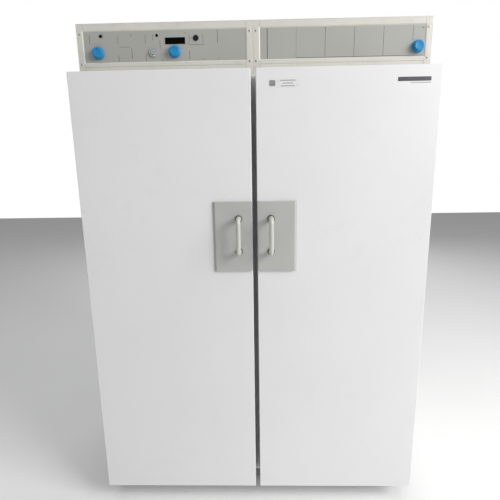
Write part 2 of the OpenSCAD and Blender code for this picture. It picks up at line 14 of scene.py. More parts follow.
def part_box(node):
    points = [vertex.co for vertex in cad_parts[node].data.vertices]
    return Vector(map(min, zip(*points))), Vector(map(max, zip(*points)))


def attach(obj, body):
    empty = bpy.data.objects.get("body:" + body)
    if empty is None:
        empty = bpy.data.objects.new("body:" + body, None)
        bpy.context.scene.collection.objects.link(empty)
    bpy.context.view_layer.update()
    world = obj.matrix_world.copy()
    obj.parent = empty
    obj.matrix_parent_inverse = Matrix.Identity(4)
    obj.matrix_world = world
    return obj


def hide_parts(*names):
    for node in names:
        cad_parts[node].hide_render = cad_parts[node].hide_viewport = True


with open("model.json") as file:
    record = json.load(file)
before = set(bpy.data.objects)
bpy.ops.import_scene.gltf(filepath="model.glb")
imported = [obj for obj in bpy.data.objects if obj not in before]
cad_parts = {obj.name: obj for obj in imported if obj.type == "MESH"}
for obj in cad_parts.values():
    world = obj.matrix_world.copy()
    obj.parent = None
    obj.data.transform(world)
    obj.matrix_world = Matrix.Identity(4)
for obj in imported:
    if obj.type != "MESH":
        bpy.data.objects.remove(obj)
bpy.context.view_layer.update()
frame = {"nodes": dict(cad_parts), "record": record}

MM = 0.001
RECORD = frame["record"]
BODY = {n: b for b, nodes in RECORD["behaviour"]["bodies"].items() for n in nodes}
SLOT = {s["node"]: s["material_slot"] for s in RECORD["subparts"]}

# ---- camera ----


def place_camera():
    """Wide lens in front of the doors, tilted down, turned slightly to the left and rolled."""
    position = Vector((0.0118, -1.6575, 1.2658))
    yaw, pitch, roll = 0.0229, 0.2069, -0.0153
    lens = 28.1
    forward = Vector((-math.sin(yaw) * math.cos(pitch), math.cos(yaw) * math.cos(pitch), -math.sin(pitch)))
    across = Vector((math.cos(yaw), math.sin(yaw), 0))
    above = across.cross(forward)
    right = across * math.cos(roll) + above * math.sin(roll)
    up = above * math.cos(roll) - across * math.sin(roll)
    data = bpy.data.cameras.new("camera")
    data.sensor_width = 36
    data.lens = lens
    data.clip_start = 0.05
    camera = bpy.data.objects.new("camera", data)
    basis = Matrix((right, up, -forward)).transposed().to_4x4()
    camera.matrix_world = Matrix.Translation(position) @ basis
    bpy.context.scene.collection.objects.link(camera)
    bpy.context.scene.camera = camera


# ---- materials ----


class Nodes:
    """A material's node tree with a Principled shader, and short calls to add to it."""

    def __init__(self, name):
        self.material = bpy.data.materials.new(name)
        self.material.use_nodes = True
        self.tree = self.material.node_tree
        self.shader = self.tree.nodes["Principled BSDF"]
        self.coordinates = self.add("ShaderNodeTexCoord").outputs["Object"]

    def add(self, kind, **settings):
        node = self.tree.nodes.new(kind)
        for key, value in settings.items():
            setattr(node, key, value)
        return node

    def link(self, output, socket):
        self.tree.links.new(output, socket)

    def noise(self, scale, detail=2.0, stretch=(1, 1, 1), roughness=0.5):
        """Noise texture in object space; scale is in cycles per metre."""
        mapping = self.add("ShaderNodeMapping")
        mapping.inputs["Scale"].default_value = stretch
        self.link(self.coordinates, mapping.inputs["Vector"])
        node = self.add("ShaderNodeTexNoise")
        node.inputs["Scale"].default_value = scale
        node.inputs["Detail"].default_value = detail
        node.inputs["Roughness"].default_value = roughness
        self.link(mapping.outputs["Vector"], node.inputs["Vector"])
        return node.outputs["Fac"]

    def spread(self, value, low, high, from_low=0.3, from_high=0.7):
        """Maps a noise value onto a range."""
        node = self.add("ShaderNodeMapRange")
        node.inputs["From Min"].default_value = from_low
        node.inputs["From Max"].default_value = from_high
        node.inputs["To Min"].default_value = low
        node.inputs["To Max"].default_value = high
        self.link(value, node.inputs["Value"])
        return node.outputs["Result"]

    def mix(self, factor, a, b):
        """Mixes two colours by a factor output."""
        node = self.add("ShaderNodeMix", data_type="RGBA")
        self.link(factor, node.inputs["Factor"])
        for socket, value in ((node.inputs[6], a), (node.inputs[7], b)):
            if isinstance(value, bpy.types.NodeSocket):
                self.link(value, socket)
            else:
                socket.default_value = (*value, 1)
        return node.outputs[2]

    def bump(self, height, distance, strength=1.0):
        node = self.add("ShaderNodeBump")
        node.inputs["Strength"].default_value = strength
        node.inputs["Distance"].default_value = distance
        self.link(height, node.inputs["Height"])
        self.link(node.outputs["Normal"], self.shader.inputs["Normal"])

    def color(self, output):
        self.link(output, self.shader.inputs["Base Color"])

    def rough(self, output):
        self.link(output, self.shader.inputs["Roughness"])


def shade(color, factor):
    return tuple(min(1.0, c * factor) for c in color)


def surface(name, color, roughness, metallic=0.0, tint=0.03, patch=5.0, spread=0.06, grain=700.0,
            grain_depth=0.03 * MM, soil=None, **sockets):
    """General finish: slow colour drift, uneven gloss and a fine surface grain.

    patch and grain are cycles per metre, and soil is the colour of a thin uneven film of dirt.
    Further keywords are shader sockets, with underscores for spaces.
    """
    n = Nodes(name)
    drift = n.noise(patch, detail=3.0)
    base = n.mix(n.spread(drift, 0.0, 1.0), shade(color, 1 - tint), shade(color, 1 + tint))
    if soil:
        film = n.noise(patch * 4, detail=6.0, roughness=0.65)
        base = n.mix(n.spread(film, 0.0, 0.35, 0.52, 0.8), base, soil)
    n.color(base)
    gloss = n.noise(patch * 2.7, detail=5.0)
    n.rough(n.spread(gloss, roughness - spread, roughness + spread))
    n.bump(n.noise(grain, detail=3.0), grain_depth)
    n.shader.inputs["Metallic"].default_value = metallic
    for socket, value in sockets.items():
        n.shader.inputs[socket.replace("_", " ")].default_value = value
    return n.material


def powder_coat(name, color, roughness=0.38):
    """Powder-coated sheet: orange peel of about 2 mm under a finer grain, faint handling marks."""
    n = Nodes(name)
    drift = n.noise(1.6, detail=2.0)
    base = n.mix(n.spread(drift, 0.0, 1.0), shade(color, 0.975), shade(color, 1.02))
    marks = n.noise(9.0, detail=8.0, roughness=0.7)
    base = n.mix(n.spread(marks, 0.0, 0.16, 0.58, 0.82), base, shade(color, 0.72))
    n.color(base)
    gloss = n.noise(7.0, detail=6.0, roughness=0.6)
    n.rough(n.spread(gloss, roughness - 0.07, roughness + 0.09))
    peel = n.noise(430.0, detail=2.0)
    n.bump(peel, 0.035 * MM, strength=0.8)
    n.shader.inputs["Specular IOR Level"].default_value = 0.45
    return n.material


def brushed(name, color, roughness, along):
    """Brushed or rolled stainless sheet, with its lines along one axis."""
    n = Nodes(name)
    drawn = 0.012
    stretch = (drawn, 1, 1) if along == "x" else (1, 1, drawn)
    lines = n.noise(2200.0, detail=2.0, stretch=stretch)
    cloud = n.noise(4.0, detail=4.0)
    base = n.mix(n.spread(cloud, 0.0, 1.0), shade(color, 0.965), shade(color, 1.03))
    n.color(base)
    n.rough(n.spread(lines, roughness - 0.06, roughness + 0.08))
    n.bump(lines, 0.01 * MM, strength=0.4)
    n.shader.inputs["Metallic"].default_value = 1.0
    n.shader.inputs["Anisotropic"].default_value = 0.4
    return n.material


def wool(name, color):
    """Mineral wool: matted fibres and a rough skin."""
    n = Nodes(name)
    fibres = n.noise(240.0, detail=8.0, stretch=(1, 1, 0.25), roughness=0.75)
    n.color(n.mix(n.spread(fibres, 0.0, 1.0), shade(color, 0.6), shade(color, 1.2)))
    n.rough(n.spread(fibres, 0.85, 1.0))
    n.bump(fibres, 2.0 * MM)
    return n.material


def circuit(name):
    """Circuit board: green lacquer with copper tracks on a square grid."""
    n = Nodes(name)
    grid = n.add("ShaderNodeTexBrick", offset=0.5)
    grid.inputs["Scale"].default_value = 90.0
    grid.inputs["Mortar Size"].default_value = 0.06
    n.link(n.coordinates, grid.inputs["Vector"])
    grid.inputs["Color1"].default_value = (0.03, 0.16, 0.08, 1)
    grid.inputs["Color2"].default_value = (0.02, 0.12, 0.07, 1)
    grid.inputs["Mortar"].default_value = (0.10, 0.30, 0.14, 1)
    n.color(grid.outputs["Color"])
    n.rough(n.spread(n.noise(60.0), 0.3, 0.45))
    n.bump(grid.outputs["Fac"], 0.05 * MM)
    return n.material


def heat_tinted(name):
    """Heater sheath: oxidised steel with straw and blue tints."""
    n = Nodes(name)
    clouds = n.noise(30.0, detail=4.0)
    n.color(n.mix(n.spread(clouds, 0.0, 1.0), (0.28, 0.20, 0.12), (0.10, 0.11, 0.15)))
    n.rough(n.spread(n.noise(200.0), 0.4, 0.6))
    n.bump(n.noise(1500.0), 0.02 * MM)
    n.shader.inputs["Metallic"].default_value = 0.9
    return n.material


MATERIALS = {
    "door_paint": powder_coat("door_paint", (0.83, 0.825, 0.835)),
    "cabinet_paint": powder_coat("cabinet_paint", (0.80, 0.80, 0.785), roughness=0.42),
    "base_paint": powder_coat("base_paint", (0.16, 0.165, 0.175), roughness=0.5),
    "rear_sheet": brushed("rear_sheet", (0.60, 0.61, 0.62), roughness=0.42, along="z"),
    "stainless": brushed("stainless", (0.62, 0.61, 0.60), roughness=0.3, along="x"),
    "shelf_wire": surface("shelf_wire", (0.66, 0.66, 0.66), 0.22, metallic=1.0, spread=0.05, patch=40.0),
    "insulation": wool("insulation", (0.62, 0.52, 0.26)),
    "heater_sheath": heat_tinted("heater_sheath"),
    "motor_black": surface("motor_black", (0.03, 0.03, 0.033), 0.45, metallic=0.4, patch=30.0),
    "fan_metal": surface("fan_metal", (0.62, 0.63, 0.64), 0.34, metallic=1.0, patch=25.0),
    "bezel_plastic": surface("bezel_plastic", (0.69, 0.68, 0.62), 0.42, tint=0.03, patch=8.0, grain=1500.0,
                             soil=(0.42, 0.41, 0.36)),
    "fascia_grey": surface("fascia_grey", (0.425, 0.428, 0.395), 0.40, tint=0.035, patch=6.0, grain=1800.0),
    "zinc_screws": surface("zinc_screws", (0.55, 0.55, 0.52), 0.32, metallic=1.0, patch=60.0),
    "dark_window": surface("dark_window", (0.0025, 0.003, 0.002), 0.30, spread=0.03, grain=200.0,
                           grain_depth=0.005 * MM, Specular_IOR_Level=0.05),
    "circuit_board": circuit("circuit_board"),
    "black_plastic": surface("black_plastic", (0.010, 0.010, 0.011), 0.45, patch=40.0, grain=2500.0,
                             Specular_IOR_Level=0.25),
    "gasket_rubber": surface("gasket_rubber", (0.27, 0.27, 0.27), 0.7, patch=20.0, grain=900.0,
                             grain_depth=0.08 * MM),
    "plate_grey": surface("plate_grey", (0.485, 0.49, 0.47), 0.38, tint=0.03, patch=9.0, grain=1600.0,
                          grain_depth=0.04 * MM),
    "grip_cream": surface("grip_cream", (0.60, 0.61, 0.555), 0.36, metallic=0.1, tint=0.03, patch=20.0,
                          grain=1600.0, grain_depth=0.015 * MM),
    "collar_grey": surface("collar_grey", (0.075, 0.085, 0.075), 0.45, patch=60.0, grain=1500.0),
    "knob_blue": surface("knob_blue", (0.012, 0.265, 0.56), 0.36, tint=0.06, patch=45.0, grain=2200.0),
    "clear_plastic": surface("clear_plastic", (0.66, 0.70, 0.70), 0.16, spread=0.05, patch=60.0,
                             grain=900.0, grain_depth=0.01 * MM, Transmission_Weight=0.45, IOR=1.49),
    "foot_steel": surface("foot_steel", (0.30, 0.30, 0.31), 0.4, metallic=0.9, patch=60.0),
}
INK = surface("ink", (0.030, 0.031, 0.030), 0.5, patch=60.0, tint=0.15)
INK_SOFT = surface("ink_soft", (0.050, 0.051, 0.047), 0.5, patch=60.0, tint=0.15)
INK_FAINT = surface("ink_faint", (0.145, 0.148, 0.135), 0.5, patch=60.0, tint=0.15)
JOINT = surface("moulding_joint", (0.30, 0.295, 0.26), 0.6, patch=60.0, tint=0.1)
LABEL = surface("label_film", (0.80, 0.795, 0.80), 0.30, patch=30.0)
LABEL_BAR = surface("label_bar", (0.26, 0.26, 0.27), 0.5, patch=90.0, tint=0.2)
LABEL_GREY = surface("label_grey", (0.50, 0.50, 0.51), 0.5, patch=90.0)
BADGE = surface("badge_metal", (0.13, 0.135, 0.15), 0.34, metallic=0.5, patch=50.0)
RUBBER = surface("foot_rubber", (0.02, 0.02, 0.02), 0.75, patch=40.0, grain=1200.0, grain_depth=0.1 * MM)
POINTER = surface("pointer_blue", (0.006, 0.10, 0.26), 0.4, patch=90.0)

# ---- meshes ----

SHARP_ANGLE = 38.0  # degrees; edges that turn more stay sharp
TOWARDS_FRONT = Vector((0, -1, 0))
TOWARDS_REAR = Vector((0, 1, 0))
UP = Vector((0, 0, 1))
ACROSS = Vector((1, 0, 0))


def soften(bm, angle):
    """Smooth faces, with the edges that turn more than the angle left sharp."""
    bmesh.ops.recalc_face_normals(bm, faces=bm.faces)
    for face in bm.faces:
        face.smooth = True
    limit = math.radians(angle)
    for edge in bm.edges:
        edge.smooth = not (edge.is_manifold and edge.calc_face_angle(0.0) > limit)


def piece(name, bm, material, body, replaces=(), angle=SHARP_ANGLE):
    """Turns a bmesh into a piece of the object that rides on a body."""
    soften(bm, angle)
    mesh = bpy.data.meshes.new(name)
    bm.to_mesh(mesh)
    bm.free()
    obj = bpy.data.objects.new(name, mesh)
    bpy.context.scene.collection.objects.link(obj)
    mesh.materials.append(material)
    normals = obj.modifiers.new("normals", "WEIGHTED_NORMAL")
    normals.keep_sharp = True
    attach(obj, body)
    if replaces:
        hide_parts(*replaces)
    return obj


def node_piece(name, bm, node, angle=SHARP_ANGLE):
    """A piece that stands for one CAD node and takes its body, slot and material."""
    return piece(name, bm, MATERIALS[SLOT[node]], BODY[node], (node,), angle)


def loft(bm, loops, wrap=False):
    """Joins loops of equally many points with faces; wrap closes the last loop onto the first.

    Without wrap, both ends are capped.
    """
    rows = [[bm.verts.new(p) for p in loop] for loop in loops]
    pairs = list(zip(rows, rows[1:]))
    if wrap:
        pairs.append((rows[-1], rows[0]))
    for a, b in pairs:
        for i in range(len(a)):
            j = (i + 1) % len(a)
            bm.faces.new((a[i], a[j], b[j], b[i]))
    if not wrap:
        bm.faces.new(rows[0])
        bm.faces.new(rows[-1])


def rounded(x0, x1, z0, z1, y, radius):
    """A rectangle with round corners in an XZ plane."""
    steps = 5
    smallest = 0.05 * MM
    radius = max(radius, smallest)
    points = []
    corners = ((x1 - radius, z1 - radius, 0), (x0 + radius, z1 - radius, 90),
               (x0 + radius, z0 + radius, 180), (x1 - radius, z0 + radius, 270))
    for cx, cz, start in corners:
        for i in range(steps + 1):
            a = math.radians(start + 90 * i / steps)
            points.append(Vector((cx + radius * math.cos(a), y, cz + radius * math.sin(a))))
    return points


def inset(box, d, y, radius):
    """The rounded rectangle of (x0, x1, z0, z1) drawn in by d."""
    x0, x1, z0, z1 = box
    return rounded(x0 + d, x1 - d, z0 + d, z1 - d, y, radius - d)


def edge_round(box, y, radius, corner, steps=4):
    """Loops that round the front edge of a rectangular block over to its front plane at y."""
    loops = []
    for i in range(steps + 1):
        a = math.radians(90 * i / steps)
        d = radius * (1 - math.cos(a))
        loops.append(inset(box, d, y + radius * (1 - math.sin(a)), corner))
    return loops


def slab(bm, box, y_back, y_front, radius, corner):
    """A rectangular plate seen from the front, with its front edge rounded."""
    loft(bm, [inset(box, 0, y_back, corner)] + edge_round(box, y_front, radius, corner))


def ring_points(centre, u, v, radius, sides):
    angles = [2 * math.pi * i / sides for i in range(sides)]
    return [centre + (u * math.cos(a) + v * math.sin(a)) * radius for a in angles]


def lathe(bm, profile, centre, sides, axis=TOWARDS_FRONT, flutes=0, flute_depth=0.0, fluted=()):
    """Turns a profile of (radius, height) rows about an axis through centre.

    The rows whose numbers are in fluted are scalloped with that many flutes.
    """
    side = ACROSS if abs(axis.x) < 0.5 else UP
    v = axis.cross(side)
    loops = []
    for row, (radius, height) in enumerate(profile):
        base = centre + axis * height
        points = []
        for i in range(sides):
            a = 2 * math.pi * i / sides
            r = radius
            if flutes and row in fluted:
                r -= flute_depth * (0.5 + 0.5 * math.cos(flutes * a))
            points.append(base + (side * math.cos(a) + v * math.sin(a)) * r)
        loops.append(points)
    loft(bm, loops)


def rod(bm, start, end, radius):
    """A straight round bar with slightly rounded ends."""
    sides = 8
    axis = (end - start).normalized()
    side = ACROSS if abs(axis.x) < 0.5 else UP
    v = axis.cross(side)
    lip = radius * 0.3
    rows = [(start, 0.7), (start + axis * lip, 1.0), (end - axis * lip, 1.0), (end, 0.7)]
    loft(bm, [ring_points(p, side, v, radius * k, sides) for p, k in rows])


def sweep(bm, path, radii, normal, sides):
    """A round bar along a path that lies in the plane with that normal."""
    loops = []
    for i, p in enumerate(path):
        before = path[max(i - 1, 0)]
        after = path[min(i + 1, len(path) - 1)]
        tangent = (after - before).normalized()
        loops.append(ring_points(p, normal, tangent.cross(normal), radii[i], sides))
    loft(bm, loops)


def cuboid(bm, low, high, bevel):
    """A box with bevelled edges."""
    made = bmesh.ops.create_cube(bm, size=1.0)["verts"]
    size = high - low
    for v in made:
        v.co = low + Vector(((v.co.x + 0.5) * size.x, (v.co.y + 0.5) * size.y, (v.co.z + 0.5) * size.z))
    edges = list({e for v in made for e in v.link_edges})
    bmesh.ops.bevel(bm, geom=edges, offset=bevel, segments=2, profile=0.7, affect="EDGES")


def refined(node, bevel):
    """A CAD node's own shape with its sharp edges rounded."""
    weld = 1e-6
    flat_angle = math.radians(0.5)
    edge_angle = math.radians(35)
    bm = bmesh.new()
    bm.from_mesh(frame["nodes"][node].data)
    bmesh.ops.remove_doubles(bm, verts=bm.verts, dist=weld)
    bmesh.ops.dissolve_limit(bm, angle_limit=flat_angle, verts=bm.verts, edges=bm.edges)
    sharp = [e for e in bm.edges if e.is_manifold and e.calc_face_angle(0.0) > edge_angle]
    bmesh.ops.bevel(bm, geom=sharp, offset=bevel, segments=2, profile=0.7, affect="EDGES",
                    clamp_overlap=True)
    node_piece(node + "_body", bm, node)


# ---- doors ----


def door_skin(side):
    """Folded door skin: rounded front edges, square rear edges and a hollow inside."""
    node = side + "_door_skin"
    low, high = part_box(node)
    box = (low.x, high.x, low.z, high.z)
    sheet = 1.5 * MM
    corner = 1.5 * MM
    fold = 2.4 * MM
    back = high.y
    front = low.y
    hem = 0.4 * MM
    loops = [
        inset(box, sheet, front + sheet, corner),
        inset(box, sheet, back, corner),
        inset(box, hem, back, corner),
        inset(box, 0, back - hem, corner),
    ]
    loops += edge_round(box, front, fold, corner + 2 * MM, steps=5)
    bm = bmesh.new()
    loft(bm, loops)
    node_piece(node + "_shell", bm, node, angle=30)


def door_label():
    """A blank label with plain bars and a blank badge on the right door."""
    low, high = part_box("right_door_skin")
    face = low.y
    top = high.z
    label_x, label_w, label_drop, label_h = 46 * MM, 96 * MM, 32 * MM, 28 * MM
    margin = 5 * MM
    label = (label_x, label_x + label_w, top - label_drop - label_h, top - label_drop)
    bm = bmesh.new()
    slab(bm, label, face + 0.2 * MM, face - 0.15 * MM, 0.1 * MM, 1.5 * MM)
    piece("right_door_label", bm, LABEL, "right_door")

    ink_back, ink_front, ink_edge = face - 0.1 * MM, face - 0.22 * MM, 0.05 * MM
    bar, bar_pitch = 2.2 * MM, 8 * MM
    centre = label_x + 60 * MM
    bm = bmesh.new()
    for row, half in enumerate((24 * MM, 16 * MM, 21 * MM)):
        z = label[3] - margin - row * bar_pitch
        slab(bm, (centre - half, centre + half, z - bar, z), ink_back, ink_front, ink_edge, 0.3 * MM)
    block = (label_x + 3 * MM, label_x + 22 * MM, label[2] + 6 * MM, label[3] - margin)
    slab(bm, block, ink_back, ink_front, ink_edge, 3 * MM)
    piece("right_door_label_bars", bm, LABEL_BAR, "right_door")

    badge_x, badge_w, badge_drop, badge_h = 441 * MM, 100 * MM, 35 * MM, 12 * MM
    badge = (badge_x, badge_x + badge_w, top - badge_drop - badge_h, top - badge_drop)
    bm = bmesh.new()
    slab(bm, badge, face + 0.2 * MM, face - 0.9 * MM, 0.5 * MM, 2 * MM)
    piece("right_door_badge", bm, BADGE, "right_door")

    line_w, line_gap, line_h = 62 * MM, 3.5 * MM, 3 * MM
    line = (badge[1] - line_w, badge[1], badge[2] - line_gap - line_h, badge[2] - line_gap)
    bm = bmesh.new()
    slab(bm, line, face - 0.02 * MM, face - 0.15 * MM, 0.05 * MM, 0.5 * MM)
    piece("right_door_badge_line", bm, LABEL_GREY, "right_door")


def handle_plate(side):
    """Grey back plate: a wide chamfer on its outer side and small ones on the other three."""
    node = side + "_handle_plate"
    low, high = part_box(node)
    wide, small = 8 * MM, 1.4 * MM
    corner = 3 * MM
    left, right = (wide, small) if side == "left" else (small, wide)

    def front(share, y):
        """The plate's outline, drawn in by a share of its chamfers."""
        return rounded(low.x + left * share, high.x - right * share, low.z + small * share,
                       high.z - small * share, y, corner)

    loops = [
        front(0.04, high.y),
        front(0, high.y - 0.4 * MM),
        front(0, high.y - 1.6 * MM),
        front(0.06, high.y - 2.1 * MM),
        front(0.92, low.y + 0.25 * MM),
        front(1, low.y),
        front(1.12, low.y),
    ]
    bm = bmesh.new()
    loft(bm, loops)
    node_piece(node + "_moulding", bm, node, angle=22)


def handle(side):
    """Bridge grip with round bends, thicker legs and sockets in the dark rings."""
    node = side + "_handle"
    low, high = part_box(node)
    r = (high.x - low.x) / 2
    x = (low.x + high.x) / 2
    out = low.y + r
    back = high.y
    bend = 13 * MM
    top, bottom = high.z - r, low.z + r
    steps = 8
    path = [Vector((x, back, top)), Vector((x, out + bend, top))]
    for i in range(1, steps + 1):
        a = math.radians(90 * i / steps)
        path.append(Vector((x, out + bend - bend * math.sin(a), top - bend + bend * math.cos(a))))
    middle = (top + bottom) / 2
    quarter = 25 * MM
    path += [Vector((x, out, z)) for z in (middle + quarter, middle, middle - quarter)]
    for i in range(steps):
        a = math.radians(90 * (1 - i / steps))
        path.append(Vector((x, out + bend - bend * math.sin(a), bottom + bend - bend * math.cos(a))))
    path += [Vector((x, out + bend, bottom)), Vector((x, back, bottom))]
    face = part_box(side + "_handle_collars")[0].y
    # Rows of depth and share of the grip's radius, from the socket outwards
    shoulder = [(face + 1 * MM, 1.0), (face - 0.2 * MM, 1.0), (face - 0.6 * MM, 1.2),
                (face - 2.5 * MM, 1.22), (face - 9 * MM, 1.06), (face - 14 * MM, 1.0)]
    stem_top = [Vector((x, y, top)) for y, _ in shoulder]
    stem_bottom = [Vector((x, y, bottom)) for y, _ in reversed(shoulder)]
    path = [path[0]] + stem_top + path[1:-1] + stem_bottom + [path[-1]]
    swell = [k for _, k in shoulder]
    radii = [1.0] + swell + [1.0] * (len(path) - 2 * len(swell) - 2) + swell[::-1] + [1.0]
    radii = [r * k for k in radii]
    bm = bmesh.new()
    sweep(bm, path, radii, ACROSS, sides=32)
    node_piece(node + "_grip", bm, node, angle=60)


def handle_collars(side):
    """Two dark rings with a rolled edge round the legs."""
    node = side + "_handle_collars"
    low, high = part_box(node)
    x = (low.x + high.x) / 2
    r = (high.x - low.x) / 2
    t = high.y - low.y
    grip_low, grip_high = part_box(side + "_handle")
    hole = (grip_high.x - grip_low.x) / 2 + 0.1 * MM
    profile = [(hole, 0), (r, 0), (r, t * 0.45), (r - 0.5 * MM, t * 0.8), (r - 1.4 * MM, t),
               (r - 2.4 * MM, t * 0.95), (hole + 0.8 * MM, t * 0.5), (hole, t * 0.4)]
    bm = bmesh.new()
    for z in (low.z + r, high.z - r):
        centre = Vector((x, high.y, z))
        loops = [ring_points(centre + TOWARDS_FRONT * h, ACROSS, UP, ring, 40) for ring, h in profile]
        loft(bm, loops, wrap=True)
    node_piece(node + "_rings", bm, node)


def gasket(side):
    """Magnetic gasket: foot, bellows and a soft sealing lip, mitred at the corners."""
    node = side + "_door_gasket"
    low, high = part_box(node)
    box = (low.x, high.x, low.z, high.z)
    width = 20 * MM
    y0, y1 = low.y, high.y
    t = y1 - y0
    # Rows of millimetres from the outer edge and share of the gasket's depth
    rows = [(0, 0), (0, 0.18), (2.2, 0.30), (2.6, 0.42), (0.8, 0.55), (0.4, 0.68), (1.6, 0.9), (4, 1.0),
            (10, 0.985), (16, 1.0), (18.4, 0.9), (19.6, 0.68), (19.2, 0.55), (17.4, 0.42), (17.8, 0.30),
            (20, 0.18), (20, 0)]
    corner = 4 * MM
    bm = bmesh.new()
    loft(bm, [inset(box, d * MM, y0 + t * k, corner + width) for d, k in rows], wrap=True)
    node_piece(node + "_profile", bm, node, angle=50)


def door(side):
    door_skin(side)
    refined(side + "_door_liner", 1.0 * MM)
    gasket(side)
    handle_plate(side)
    handle(side)
    handle_collars(side)


# ---- control panel ----


def bezel(side):
    """Moulded frame of a control module: rolled outer edge, flat face, stepped and sloped inner lip."""
    node = side + "_panel_frame"
    low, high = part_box(node)
    face_low, face_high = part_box(side + "_fascia")
    outer = (low.x, high.x, low.z, high.z)
    opening = (face_low.x, face_high.x, face_low.z, face_high.z)
    front, back = low.y, high.y
    lip = 3.5 * MM

    def between(d, y):
        """A rectangle outside the opening by d."""
        x0, x1, z0, z1 = opening
        return rounded(x0 - d, x1 + d, z0 - d, z1 + d, y, 0.8 * MM + d * 0.2)

    loops = [
        inset(outer, 0, back, 1.2 * MM),
        inset(outer, 0, front + 1.2 * MM, 1.2 * MM),
        inset(outer, 0.35 * MM, front + 0.35 * MM, 1.2 * MM),
        inset(outer, 1.2 * MM, front, 1.6 * MM),
        between(lip + 4 * MM, front),
        between(lip, front),
        between(lip - 0.5 * MM, front + 0.1 * MM),
        between(0.0, front + 2.0 * MM),
        between(0.0, back),
    ]
    bm = bmesh.new()
    loft(bm, loops, wrap=True)
    node_piece(node + "_moulding", bm, node, angle=25)


def strip(bm, x0, x1, z0, z1, y):
    """A thin printed mark that stands just proud of the face at y."""
    proud, sunk = 0.12 * MM, 0.05 * MM
    cuboid(bm, Vector((x0, y - proud, z0)), Vector((x1, y + sunk, z1)), 0.02 * MM)


def upright(bm, x, z0, z1, y, width):
    """A vertical mark centred on x."""
    strip(bm, x - width / 2, x + width / 2, z0, z1, y)


def level(bm, x0, x1, z, y, width):
    """A horizontal mark centred on z."""
    strip(bm, x0, x1, z - width / 2, z + width / 2, y)


# Marks on the left fascia: millimetres from the middle of the cabinet, then the lower and the upper end
# as shares of the fascia's height
LEFT_DARK = ((-530, 0.62, 0.87), (-438, 0.01, 0.24), (-394, 0.11, 0.44), (-348, 0.02, 0.24),
             (-301, 0.41, 0.67), (-206, 0.05, 0.32), (-114, 0.56, 0.97))
LEFT_FAINT = ((-486, 0.77, 0.96), (-438, 0.57, 0.83), (-394, 0.81, 0.93), (-348, 0.56, 0.87),
              (-324, 0.68, 0.89), (-206, 0.52, 0.85), (-161, 0.52, 0.85))
# Level marks: the two ends, then the share of the height
LEFT_LEVELS = ((-434, -398, 0.49), (-206, -161, 0.52), (-206, -194, 0.74), (-300, -292, 0.04),
               (-165, -158, 0.05), (-116, -108, 0.04), (-222, -214, 0.90))


def printed_lines():
    """Thin dividing lines and brackets printed on both fascias, with no lettering."""
    low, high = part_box("left_fascia")
    y = low.y
    h = high.z - low.z
    width = 1.2 * MM
    dark, faint = bmesh.new(), bmesh.new()
    for x, a, b in LEFT_DARK:
        upright(dark, x * MM, low.z + h * a, low.z + h * b, y, width)
    for x, a, b in LEFT_FAINT:
        upright(faint, x * MM, low.z + h * a, low.z + h * b, y, width)
    for x0, x1, share in LEFT_LEVELS:
        level(faint, x0 * MM, x1 * MM, low.z + h * share, y, width)
    piece("left_fascia_lines", dark, INK_SOFT, "cabinet")
    piece("left_fascia_faint_lines", faint, INK_FAINT, "cabinet")

    low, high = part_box("right_fascia")
    y = low.y
    middle = (low.z + high.z) / 2
    dark, faint = bmesh.new(), bmesh.new()
    first, pitch = 46 * MM, 93 * MM
    edge = 2 * MM
    upright(dark, first, low.z + edge, high.z - edge, y, 2.0 * MM)
    upright(faint, first + pitch, low.z + edge, high.z - edge, y, 0.8 * MM)
    for i in (2, 3, 4):
        upright(dark, first + i * pitch, low.z + edge, high.z - edge, y, 1.0 * MM)
    upright(faint, first + 5 * pitch, middle, high.z - edge, y, 1.2 * MM)
    level(dark, first + pitch, high.x - 6 * MM, low.z + 2.5 * MM, y, 1.0 * MM)
    level(faint, high.x - 12 * MM, high.x - 4 * MM, high.z - 9 * MM, y, 2.5 * MM)
    piece("right_fascia_lines", dark, INK, "cabinet")
    piece("right_fascia_faint_lines", faint, INK_FAINT, "cabinet")


def bezel_joints(side):
    """Fine joints where the rails of a bezel meet its stiles, and the step along the bottom rail."""
    low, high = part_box(side + "_panel_frame")
    face_low, face_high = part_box(side + "_fascia")
    y = low.y
    width = 0.8 * MM
    edge, lip, step = 1.5 * MM, 6 * MM, 14 * MM
    bm = bmesh.new()
    for x in (face_low.x, face_high.x):
        upright(bm, x, low.z + edge, face_low.z - lip, y, width)
        upright(bm, x, face_high.z + lip, high.z - edge, y, width)
    level(bm, face_low.x, face_high.x, face_low.z - step, y, width)
    piece(side + "_bezel_joints", bm, JOINT, "cabinet")


def dial_marks():
    """A ring of short graduation strokes round each knob, with no numbers."""
    bm = bmesh.new()
    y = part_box("left_fascia")[0].y
    radius, length, width, height = 24 * MM, 2 * MM, 0.5 * MM, 0.1 * MM
    lift = TOWARDS_FRONT * height
    first_angle, step_angle = -150, 30
    for node, strokes in (("timer_knob", 11), ("setpoint_knob", 11), ("vent_knob", 7)):
        low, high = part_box(node)
        centre = Vector(((low.x + high.x) / 2, y, (low.z + high.z) / 2))
        for i in range(strokes):
            a = math.radians(first_angle + step_angle * i)
            direction = Vector((math.sin(a), 0, math.cos(a)))
            across = Vector((math.cos(a), 0, -math.sin(a)))
            inner = centre + direction * (radius - length)
            outer = centre + direction * radius
            half = across * width / 2
            rows = [[p - half, p + half, p + half + lift, p - half + lift] for p in (inner, outer)]
            loft(bm, rows)
    piece("dial_marks", bm, INK_FAINT, "cabinet")


def spindle(bm, centre, length):
    """Shaft from the back of a knob through the fascia."""
    radius = 3 * MM
    lathe(bm, [(radius, 0), (radius, length)], centre, axis=TOWARDS_REAR, sides=24)


